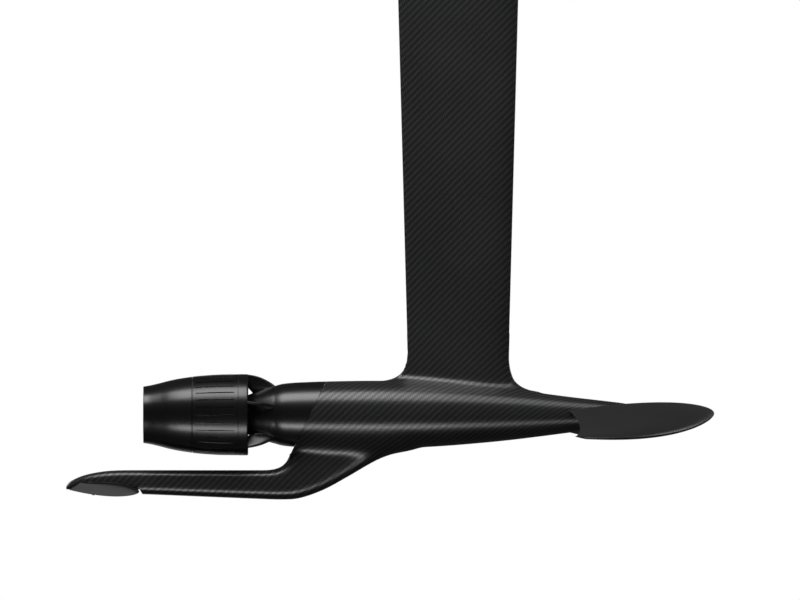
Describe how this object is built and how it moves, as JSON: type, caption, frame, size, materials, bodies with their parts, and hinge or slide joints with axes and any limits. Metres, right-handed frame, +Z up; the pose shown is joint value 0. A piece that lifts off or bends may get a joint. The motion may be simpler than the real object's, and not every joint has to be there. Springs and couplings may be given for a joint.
{
  "type": "electric hydrofoil mast and wing set",
  "caption": "Carbon hydrofoil mast with fuselage, tail boom, front wing, tail wing and a ducted electric water jet, to bolt under a board.",
  "frame": {"origin": "centre of the mast plate's upper face, which bolts against the board", "axes": "+X forward, +Y to port, +Z up along the mast, out of the plate towards the board"},
  "size_m": [0.7904, 0.845, 0.8934],
  "materials": {
    "carbon": "satin clear coat over carbon twill",
    "wing_coat": "matte black coat",
    "anodised": "satin black anodised aluminium",
    "moulded_plastic": "satin moulded black",
    "bare_aluminium": "machined",
    "stainless": "stainless steel",
    "rubber": "matte black",
    "copper": "enamelled copper wire",
    "electrical_steel": "laminated steel",
    "magnet": "nickel plated",
    "circuit_board": "green solder mask"
  },
  "bodies": {
    "root": {"board_connector": "moulded_plastic", "connector_seal": "rubber", "controller_board": "circuit_board", "controller_tray": "bare_aluminium", "duct_housing": "moulded_plastic", "flow_straightener": "bare_aluminium", "front_bearing": "stainless", "front_wing": "wing_coat", "housing_seal_ring": "rubber", "intake_spider": "moulded_plastic", "mast_fuselage_moulding": "carbon", "mast_plate": "bare_aluminium", "mast_screw_1": "stainless", "mast_screw_2": "stainless", "mast_screw_3": "stainless", "mast_screw_4": "stainless", "motor_bulkhead": "bare_aluminium", "motor_housing": "anodised", "nozzle": "anodised", "phase_lead_1": "rubber", "phase_lead_2": "rubber", "phase_lead_3": "rubber", "power_cable": "rubber", "rear_bearing": "stainless", "shaft_seal": "rubber", "spider_screw_1": "stainless", "spider_screw_2": "stainless", "spider_screw_3": "stainless", "spider_screw_4": "stainless", "spider_screw_5": "stainless", "stator_core": "electrical_steel", "stator_windings": "copper", "tail_screw_1": "stainless", "tail_screw_2": "stainless", "tail_wing": "wing_coat", "wing_screw_1": "stainless", "wing_screw_2": "stainless", "wing_screw_3": "stainless"},
    "rotor": {"impeller": "moulded_plastic", "impeller_nut": "stainless", "motor_shaft": "stainless", "rotor_core": "electrical_steel", "rotor_magnets": "magnet"}
  },
  "joints": [
    {"name": "rotor_spin", "type": "hinge", "parent": "root", "child": "rotor", "pos_m": [-0.2, 0, -0.79], "axis": [1, 0, 0], "continuous": true}
  ]
}
